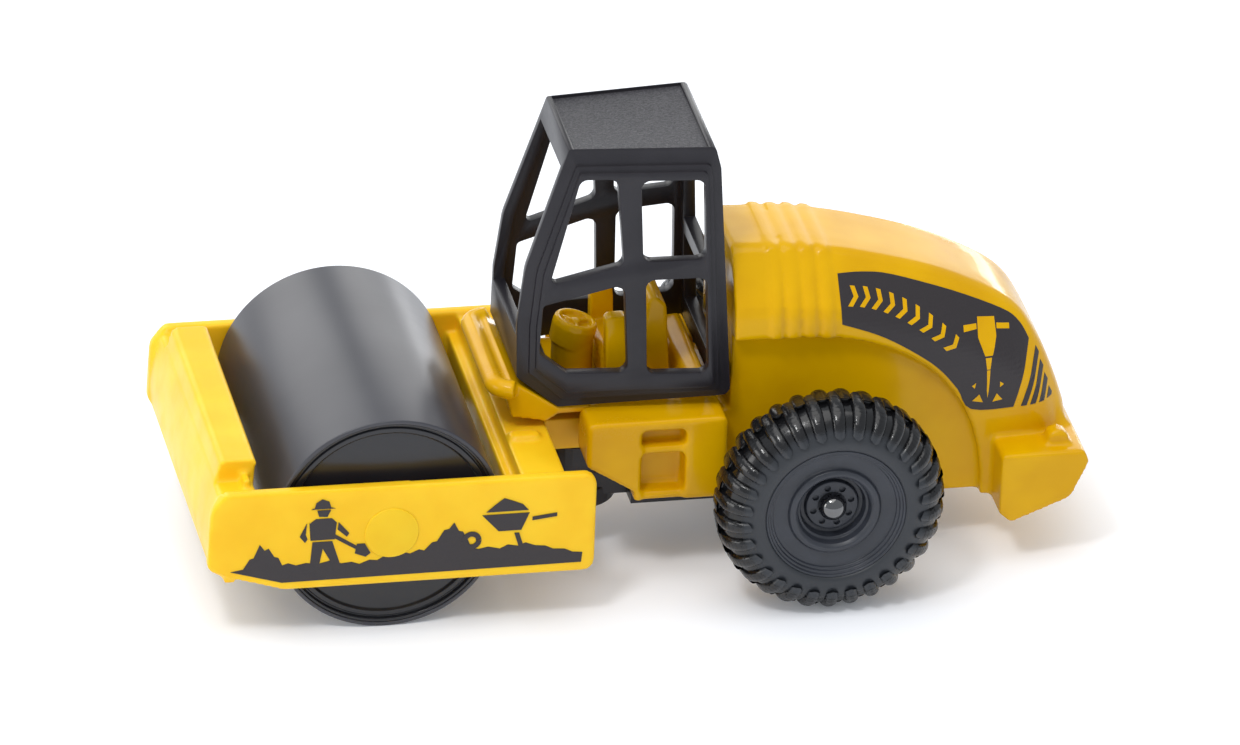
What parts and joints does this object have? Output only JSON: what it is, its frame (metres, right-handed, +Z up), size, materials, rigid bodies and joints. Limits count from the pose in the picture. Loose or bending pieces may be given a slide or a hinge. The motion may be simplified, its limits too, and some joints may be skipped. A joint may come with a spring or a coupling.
{
  "type": "toy road roller",
  "caption": "Small toy road roller: a smooth drum in a yellow frame, pivoted to a yellow body with an open black cab, a rounded hood and lugged rear wheels.",
  "frame": {"origin": "on the ground below the middle of the toy's bounding box", "axes": "+Z up, forward (the drum end) is -X, the toy's left is -Y"},
  "size_m": [0.0909, 0.043, 0.0466],
  "materials": {
    "casting_paint": "thick glossy yellow enamel on a zinc casting",
    "frame_plastic": "semi-gloss moulded yellow plastic, slightly waxy",
    "cab_plastic": "satin charcoal moulded plastic",
    "drum_plastic": "smooth semi-gloss dark grey plastic",
    "tyre_rubber": "glossy black lugs with a satin sidewall",
    "hub_plastic": "satin dark grey-blue plastic",
    "steel": "plain turned steel"
  },
  "bodies": {
    "body": {"body_casting": "casting_paint", "base_plate": "cab_plastic", "rivet_front": "steel", "rivet_rear": "steel", "pivot_pin": "steel", "pivot_washer": "steel", "cab_frame": "cab_plastic", "interior_tray": "casting_paint", "seat": "casting_paint", "steering_console": "casting_paint"},
    "drum_frame": {"drum_frame": "frame_plastic"},
    "drum": {"drum_shell": "drum_plastic", "drum_end_left": "drum_plastic", "drum_end_right": "drum_plastic", "drum_axle": "steel"},
    "rear_wheels": {"rear_axle": "steel", "rim_left": "hub_plastic", "rim_right": "hub_plastic", "tyre_left": "tyre_rubber", "tyre_right": "tyre_rubber", "axle_cap_left": "hub_plastic", "axle_cap_right": "hub_plastic"}
  },
  "joints": [
    {"name": "steering_pivot", "type": "hinge", "parent": "body", "child": "drum_frame", "pos_m": [-0.005, 0, 0.01385], "axis": [0, 0, 1], "range_deg": [-14, 14]},
    {"name": "drum_roll", "type": "hinge", "parent": "drum_frame", "child": "drum", "pos_m": [-0.027, 0, 0.0116], "axis": [0, 1, 0], "continuous": true},
    {"name": "rear_wheel_roll", "type": "hinge", "parent": "body", "child": "rear_wheels", "pos_m": [0.01765, 0, 0.01165], "axis": [0, 1, 0], "continuous": true}
  ]
}
